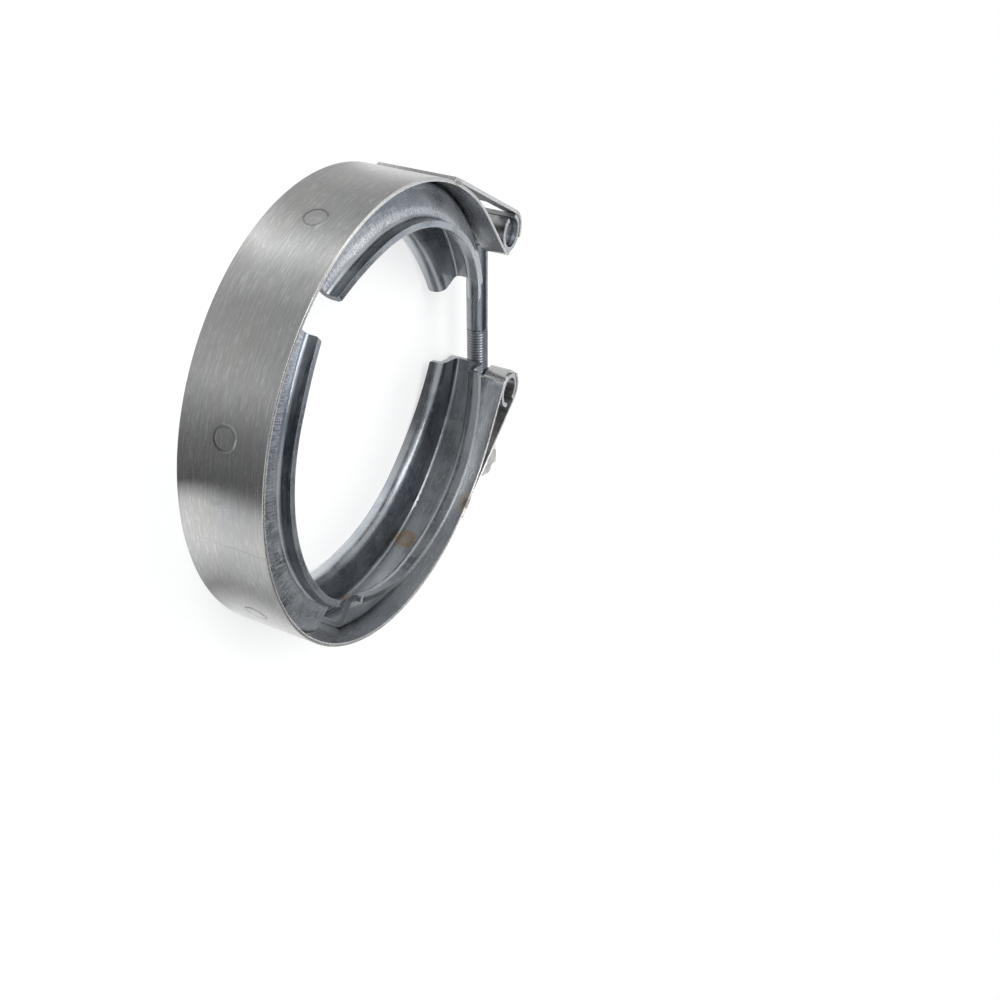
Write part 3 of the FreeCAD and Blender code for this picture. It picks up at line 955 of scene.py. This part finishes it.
@dataclass(frozen=True)
class Band:
    """The band's two halves and the tack beads of their straps."""

    strip: BandStrip = BandStrip()
    tack_degs: tuple[float, ...] = (58.4, 59.5, 60.6)
    tack_shift_deg: float = 3.3
    tack_radius: float = 0.66 * MM
    tack_spread: float = 0.12
    tack_at: tuple[float, float] = (59.05 * MM, 10.85 * MM)
    tack_shape: tuple[float, float, float] = (0.75, 1.15, 0.62)

    def build(self) -> None:
        """Make both halves and their tacks."""
        welds = self.strip.weld_places()
        material = BrushedStrip(
            "brushed_band", (0.59, 0.60, 0.605), (0.38, 0.39, 0.40), roughness=(0.22, 0.38),
            bump=0.012 * MM, weld_places=welds + tuple(-place for place in welds),
        ).material()
        bead = WeldBead(
            "tack_bead", (0.62, 0.61, 0.59), (0.30, 0.28, 0.27), roughness=(0.3, 0.55), bump=0.12 * MM
        ).material()
        for side in Side:
            half = self.strip.build(side)
            dress(half, material)
            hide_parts("outer_band")
            self.strip.hinge(side)
            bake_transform(half)
            tacks = self._tacks(side)
            dress(tacks, bead)
            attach(tacks, side.name.lower() + "_arm")
            faces = len(half.data.polygons), len(tacks.data.polygons)
            LOG.info("band, %s half: %d faces, tacks %d faces", side.name.lower(), *faces)

    def _tacks(self, side: Side) -> Piece:
        """Return the beads that close the lap at the strap's end, on both rims."""
        shape = bmesh.new()
        flat = Matrix.Diagonal(self.tack_shape).to_4x4()
        out, up = self.tack_at
        for rim in (-1.0, 1.0):
            for index, place in enumerate(self.tack_degs):
                turn = math.radians(place - (self.tack_shift_deg if side is Side.LOWER else 0.0))
                radius = self.tack_radius * (1.0 + self.tack_spread * math.sin(7.0 * index + rim))
                lump = bmesh.ops.create_icosphere(shape, subdivisions=3, radius=radius)["verts"]
                spot = Vector((out * math.cos(turn), out * math.sin(turn), rim * up))
                matrix = Matrix.Translation(spot) @ Matrix.Rotation(turn, 4, "Z") @ flat
                bmesh.ops.transform(shape, matrix=matrix, verts=lump)
        if side is Side.LOWER:
            bmesh.ops.scale(shape, vec=(1.0, -1.0, 1.0), verts=shape.verts)
            bmesh.ops.reverse_faces(shape, faces=shape.faces)
        smooth_faces(shape)
        return object_from(shape, "strap_tacks_" + side.name.lower())


@dataclass(frozen=True)
class TBolt:
    """The T-bolt: a cross bar in the upper sleeve, a plain shank and a rolled thread."""

    head_y: float = 25.5 * MM
    bar_radius: float = 3.8 * MM
    bar_half: float = 9.3 * MM
    bar_chamfer: float = 0.4 * MM
    shank_radius: float = 3.175 * MM
    shank_overlap: float = 0.05 * MM
    shank_chamfer: tuple[float, float] = (0.12 * MM, 0.25 * MM)
    pitch: float = 0.907 * MM
    tooth: Stops = ((0.0, 0.0), (0.11, 0.0), (0.43, 1.0), (0.57, 1.0), (0.89, 0.0), (1.0, 0.0))
    runout_turns: float = 0.8
    end_y: float = -60.0 * MM
    end_taper: float = 0.9 * MM
    thread_steps: int = 28
    round_steps: int = 64
    merge_limit: float = 0.002 * MM

    def build(self) -> None:
        """Make the bolt and put it in place of its plain solid."""
        shape = bmesh.new()
        self._thread(shape)
        self._shank(shape)
        self._bar(shape)
        smooth_faces(shape)
        bolt = object_from(shape, "threaded_t_bolt")
        even_normals(bolt)
        steel = RolledThread(
            "drawn_bolt", (0.33, 0.355, 0.39), (0.21, 0.23, 0.265), roughness=(0.22, 0.5),
            edge_radius=0.1 * MM, bump=0.01 * MM,
        )
        dress(bolt, steel.material())
        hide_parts("t_bolt")
        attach(bolt, "bolt")
        LOG.info("T-bolt: %d faces", len(bolt.data.polygons))

    def _thread(self, shape: Shape) -> None:
        """Sweep one thread tooth up the bolt, trim it to length and taper both of its ends."""
        turns = math.ceil((THREAD_TOP - self.end_y) / self.pitch) + 3
        start_y = self.end_y - 1.5 * self.pitch
        verts = []
        for along, high in self.tooth:
            out = BOLT_X + ROOT_RADIUS + (CREST_RADIUS - ROOT_RADIUS) * high
            verts.append(shape.verts.new((out, start_y + self.pitch * along, 0.0)))
        edges = [shape.edges.new(pair) for pair in zip(verts, verts[1:])]
        bmesh.ops.spin(
            shape, geom=verts + edges, cent=(BOLT_X, 0.0, 0.0), axis=(0.0, 1.0, 0.0),
            dvec=(0.0, self.pitch / self.thread_steps, 0.0), angle=math.tau * turns,
            steps=self.thread_steps * turns,
        )
        bmesh.ops.remove_doubles(shape, verts=shape.verts, dist=self.merge_limit)
        for level, way in ((self.end_y, -1.0), (THREAD_TOP, 1.0)):
            cut_across(shape, (0.0, level, 0.0), (0.0, way, 0.0), clear_outer=True, close=True)
        for vert in shape.verts:
            self._taper(vert)
        bmesh.ops.recalc_face_normals(shape, faces=shape.faces)

    def _taper(self, vert: bmesh.types.BMVert) -> None:
        """Hold a thread point under the end's chamfer and over the run-out's cone."""
        out = Vector((vert.co.x - BOLT_X, 0.0, vert.co.z))
        above_end = (vert.co.y - self.end_y) / self.end_taper
        most = self.shank_radius - self.end_taper * max(0.0, 1.0 - above_end)
        runout = 1.0 - (THREAD_TOP - vert.co.y) / (self.runout_turns * self.pitch)
        least = ROOT_RADIUS + (CREST_RADIUS - ROOT_RADIUS) * max(0.0, runout)
        radius = min(max(out.length, least), most)
        if out.length > 1e-6:
            out *= radius / out.length
        vert.co = Vector((BOLT_X + out.x, vert.co.y, out.z))

    def _shank(self, shape: Shape) -> None:
        """Add the plain shank, from inside the cross bar to the thread."""
        radius, low = self.shank_radius, THREAD_TOP - self.shank_overlap
        inwards, upwards = self.shank_chamfer
        profile = (
            (0.0, low), (radius - inwards, low), (radius, low + upwards),
            (radius, self.head_y), (0.0, self.head_y),
        )
        points = [(BOLT_X + r, y, 0.0) for r, y in profile]
        turned(shape, points, (BOLT_X, 0.0, 0.0), (0.0, 1.0, 0.0), self.round_steps)

    def _bar(self, shape: Shape) -> None:
        """Add the cross bar with its chamfered ends."""
        half, radius, chamfer = self.bar_half, self.bar_radius, self.bar_chamfer
        profile = (
            (0.0, -half), (radius - chamfer, -half), (radius, chamfer - half),
            (radius, half - chamfer), (radius - chamfer, half), (0.0, half),
        )
        points = [(BOLT_X + r, self.head_y, z) for r, z in profile]
        turned(shape, points, (BOLT_X, self.head_y, 0.0), (0.0, 0.0, 1.0), self.round_steps)


def turned(
    shape: Shape, profile: Sequence[Sequence[float]], centre: Sequence[float],
    axis: Sequence[float], steps: int,
) -> None:
    """Add a full turn of a profile that starts and ends on its axis.

    Args:
        shape: the bmesh to add to.
        profile: the points of the profile.
        centre: a point of the axis.
        axis: its direction.
        steps: the number of steps round.
    """
    verts = [shape.verts.new(point) for point in profile]
    edges = [shape.edges.new(pair) for pair in zip(verts, verts[1:])]
    before = set(shape.faces)
    sweep = {"cent": centre, "axis": axis, "angle": math.tau, "steps": steps, "use_merge": True}
    bmesh.ops.spin(shape, geom=verts + edges, **sweep)
    points = {vert for face in set(shape.faces) - before for vert in face.verts}
    bmesh.ops.remove_doubles(shape, verts=list(points), dist=0.001 * MM)
    bmesh.ops.recalc_face_normals(shape, faces=[face for face in shape.faces if face not in before])


@dataclass(frozen=True)
class PressedParts:
    """The finishes of the solids that keep their own shape: segments, sleeves and lock nut."""

    def dress(self) -> None:
        """Give each solid its finish."""
        sheet = {"roughness": (0.22, 0.44), "crease_reach": 1.3 * MM, "crease": 0.65}
        softer = sheet | {"crease_reach": 0.9 * MM, "crease": 0.42}
        marks = {"mark_reach": 6.5 * MM, "mark_least": 0.45, "lip_bend_highlight": 0.3}
        fine = 0.015 * MM
        sleeve = RolledSleeve(
            "rolled_sleeve", (0.56, 0.57, 0.58), (0.36, 0.37, 0.38), roughness=(0.24, 0.42), bump=fine
        ).material()
        finishes = {
            "v_segment_upper": PressedSheet(
                "pressed_segment", (0.47, 0.495, 0.52), (0.27, 0.295, 0.33), **softer
            ).material(),
            "v_segment_left": PressedSheet(
                "hatched_segment", (0.41, 0.435, 0.465), (0.22, 0.245, 0.28), **marks, **sheet
            ).material(),
            "v_segment_lower": PressedSheet(
                "stained_segment", (0.41, 0.432, 0.455), (0.23, 0.25, 0.28), heat=True, **sheet
            ).material(),
            "bolt_sleeve": sleeve,
            "nut_sleeve": sleeve,
            "lock_nut": SatinNut(
                "satin_nut", (0.95, 0.95, 0.92), (0.84, 0.84, 0.82), roughness=(0.5, 0.68), bump=fine
            ).material(),
        }
        for node, material in finishes.items():
            dress(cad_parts[node], material)
            LOG.info("%s: dressed in %s", node, material.name)


@dataclass(frozen=True)
class Card:
    """A grey card: its direction and distance from the clamp, its size and its tone."""

    name: str
    azimuth: float
    elevation: float
    distance: float
    width: float
    height: float
    tone: float

    def place(self) -> Vector:
        """Return the card's middle."""
        turn, rise = math.radians(self.azimuth), math.radians(self.elevation)
        level = math.cos(rise)
        return Vector((math.cos(turn) * level, math.sin(turn) * level, math.sin(rise))) * self.distance


@dataclass(frozen=True)
class Studio:
    """The pale floor, the soft lights, the reflection cards and the camera."""

    camera_at: tuple[float, float, float] = (-0.19307, 0.15082, 0.12956)
    camera_back: tuple[float, float, float] = (-0.7116, 0.6147, 0.3403)
    roll_deg: float = 0.593
    lens_mm: float = 39.04
    sensor_mm: float = 36.0
    floor_z: float = -HALF_WIDTH
    shadow_fades: tuple[float, float] = (0.16, 0.34)
    cool: tuple[float, float] = (0.96, 1.07)
    cards: tuple[Card, ...] = (
        Card("card_left", -59.0, 47.0, 0.60, 0.60, 0.44, 0.06),
        Card("card_low", -62.0, 9.0, 0.60, 0.36, 0.34, 0.34),
        Card("card_right", 2.0, 22.0, 0.60, 0.34, 0.58, 0.50),
        Card("card_side", -138.0, 8.0, 0.50, 0.44, 0.40, 0.20),
        Card("card_rim", -27.0, 25.0, 0.60, 0.24, 0.20, 0.62),
        Card("card_far", 140.0, 30.0, 0.60, 0.50, 0.50, 0.24),
        Card("card_top", 45.0, 85.0, 0.75, 0.80, 0.80, 0.42),
    )
    outer_tones: Stops = (
        (0.0, 0.95), (66.0, 0.95), (76.0, 0.62), (88.0, 0.5), (100.0, 0.56), (106.0, 0.8),
        (112.0, 1.2), (119.0, 0.68), (127.0, 0.5), (144.0, 0.6), (151.0, 0.38), (157.0, 0.24),
        (167.5, 0.13), (169.5, 0.5), (172.5, 0.95), (183.0, 1.1), (190.0, 0.8), (199.0, 0.4),
        (207.0, 0.7), (215.0, 1.0), (360.0, 0.95),
    )
    inner_tones: Stops = ((0.0, 0.7), (0.42, 0.62), (0.6, 0.4), (0.74, 0.42), (0.84, 1.3), (1.0, 1.5))
    inner_sides: Stops = (
        (0.0, 0.7), (90.0, 1.1), (270.0, 1.2), (292.0, 1.25), (303.0, 0.85), (315.0, 0.6), (324.0, 0.22),
        (345.0, 0.15), (360.0, 0.6),
    )

    def build(self) -> None:
        """Make the whole studio."""
        self._camera()
        self._floor()
        self._world()
        self._lamps()
        self._cards()
        self._floor_card()

    def _camera(self) -> None:
        """Set the camera at the photograph's viewing angle."""
        data = bpy.data.cameras.new("view")
        data.lens = self.lens_mm
        data.sensor_width = self.sensor_mm
        data.sensor_fit = "HORIZONTAL"
        data.clip_start = 0.01
        back = Vector(self.camera_back).normalized()
        right = Vector((0.0, 1.0, 0.0)).cross(back).normalized()
        up = back.cross(right)
        roll = math.radians(self.roll_deg)
        tilted = right * math.cos(roll) + up * math.sin(roll)
        upright = up * math.cos(roll) - right * math.sin(roll)
        turn = Matrix((tilted, upright, back)).transposed().to_4x4()
        camera = linked("view", data)
        camera.matrix_world = Matrix.Translation(Vector(self.camera_at)) @ turn
        bpy.context.scene.camera = camera

    def _floor(self) -> None:
        """Lay the pale floor, which shows white and keeps a soft shadow."""
        shape = bmesh.new()
        bmesh.ops.create_grid(shape, x_segments=4, y_segments=4, size=3.0)
        bmesh.ops.translate(shape, vec=(0.0, 0.0, self.floor_z), verts=shape.verts)
        material, graph = self._paper("pale_floor")
        from_middle = graph.length(graph.place())
        grey = graph.thrice(from_middle.remap(*self.shadow_fades, 0.47, 0.0))
        pale = graph.thrice(from_middle.remap(*self.shadow_fades, 0.60, 1.0))
        matte = graph.wire("BsdfDiffuse", {"Color": (0.86, 0.87, 0.88)})
        shaded = graph.wire("BsdfDiffuse", {"Color": grey})
        glow = graph.wire("Emission", {"Color": pale, "Strength": 1.0})
        lifted = graph.wire("AddShader", {0: shaded, 1: glow})
        surface = graph.wire("MixShader", {0: self._seen(graph), 1: matte, 2: lifted})
        graph.node("OutputMaterial", {"Surface": surface})
        floor = object_from(shape, "floor")
        dress(floor, material)

    def _seen(self, graph: Graph) -> Wire:
        """Return 1 for rays of the camera, of a reflection and of a transmission."""
        path = graph.node("LightPath").outputs
        rays = [Wire(graph, path[f"Is {kind} Ray"]) for kind in ("Camera", "Glossy", "Transmission")]
        return reduce(Wire.most, rays)

    def _world(self) -> None:
        """Set a white world that lights the clamp at a plain level."""
        world = bpy.data.worlds.new("studio")
        bpy.context.scene.world = world
        world.use_nodes = True
        world.node_tree.nodes.clear()
        graph = Graph(world.node_tree)
        soft = graph.wire("Background", {"Color": (0.94, 0.97, 1.0), "Strength": 0.5})
        white = graph.wire("Background", {"Color": (1.0, 1.0, 1.0), "Strength": 1.0})
        surface = graph.wire("MixShader", {0: self._seen(graph), 1: soft, 2: white})
        graph.node("OutputWorld", {"Surface": surface})

    def _cards(self) -> None:
        """Hang the grey cards that the steel reflects, out of the camera's sight."""
        red, blue = self.cool
        for card in self.cards:
            shape = bmesh.new()
            bmesh.ops.create_grid(shape, x_segments=1, y_segments=1, size=0.5)
            bmesh.ops.scale(shape, vec=(card.width, card.height, 1.0), verts=shape.verts)
            place = card.place()
            facing = place.to_track_quat("Z", "Y").to_matrix().to_4x4()
            bmesh.ops.transform(shape, matrix=Matrix.Translation(place) @ facing, verts=shape.verts)
            material, graph = self._paper(card.name)
            self._glow(graph, (card.tone * red, card.tone, card.tone * blue))
            self._hang(object_from(shape, card.name), material)

    def _floor_card(self) -> None:
        """Lay the round card, shaded in sectors, that the band and the lips reflect from the floor."""
        shape = bmesh.new()
        bmesh.ops.create_circle(shape, cap_ends=True, radius=0.30, segments=96)
        bmesh.ops.translate(shape, vec=(0.0, 0.0, self.floor_z + 0.1 * MM), verts=shape.verts)
        material, graph = self._paper("card_floor")
        ring = graph.effect(Group.ROUND_AXIS, Vector=graph.place(), Radius=WALL_RADIUS)
        distance = ring["Distance"]
        degrees = ring["Degrees"] + ring["Degrees"].below(0.0) * 360.0
        outwards = ((distance - 59 * MM) / (30 * MM)).clamped()
        lean = (degrees - 141.0) * 0.31 * outwards
        outer = graph.ramp((degrees - lean) / 360.0, self._turns(self.outer_tones))
        fading = graph.thrice(distance.remap(60 * MM, 95 * MM, 1.04, 0.9))
        outer = graph.vector("MULTIPLY", outer, fading)
        inner = graph.ramp(distance / (50 * MM), self.inner_tones)
        sides = graph.ramp(degrees / 360.0, self._turns(self.inner_sides))
        inner = graph.vector("MULTIPLY", inner, sides)
        self._glow(graph, graph.mix(distance.below(48 * MM), outer, inner))
        self._hang(object_from(shape, "card_floor"), material)

    def _turns(self, stops: Stops) -> Stops:
        """Return stops in degrees as stops in full turns."""
        return [(degrees / 360.0, tone) for degrees, tone in stops]

    def _paper(self, name: str) -> tuple[Material, Graph]:
        """Return an empty material and its graph."""
        material = bpy.data.materials.new(name)
        material.use_nodes = True
        material.node_tree.nodes.clear()
        return material, Graph(material.node_tree)

    def _glow(self, graph: Graph, tone: Value) -> None:
        """Finish a card's material with its tone."""
        paper = graph.wire("Emission", {"Color": tone, "Strength": 1.0})
        graph.node("OutputMaterial", {"Surface": paper})

    def _hang(self, card: Piece, material: Material) -> None:
        """Dress a card and leave it to reflections alone."""
        dress(card, material)
        card.visible_camera = False
        card.visible_diffuse = False
        card.visible_shadow = False

    def _lamps(self) -> None:
        """Hang the soft lights: name, place, size and power of each."""
        lamps = (("key", (-0.25, 0.45, 0.55), 0.5, 3.2), ("fill", (0.5, -0.25, 0.4), 0.6, 1.8))
        for name, place, size, power in lamps:
            data = bpy.data.lights.new(name, "AREA")
            data.size = size
            data.energy = power
            lamp = linked(name, data)
            lamp.location = place
            lamp.rotation_euler = Vector(place).to_track_quat("Z", "Y").to_euler()


def main() -> None:
    """Build the clamp and its studio."""
    logging.basicConfig(level=logging.INFO, format="%(name)s: %(message)s")
    bpy.context.scene.view_settings.view_transform = "Standard"
    Band().build()
    TBolt().build()
    PressedParts().dress()
    Studio().build()


if __name__ == "__main__":
    main()
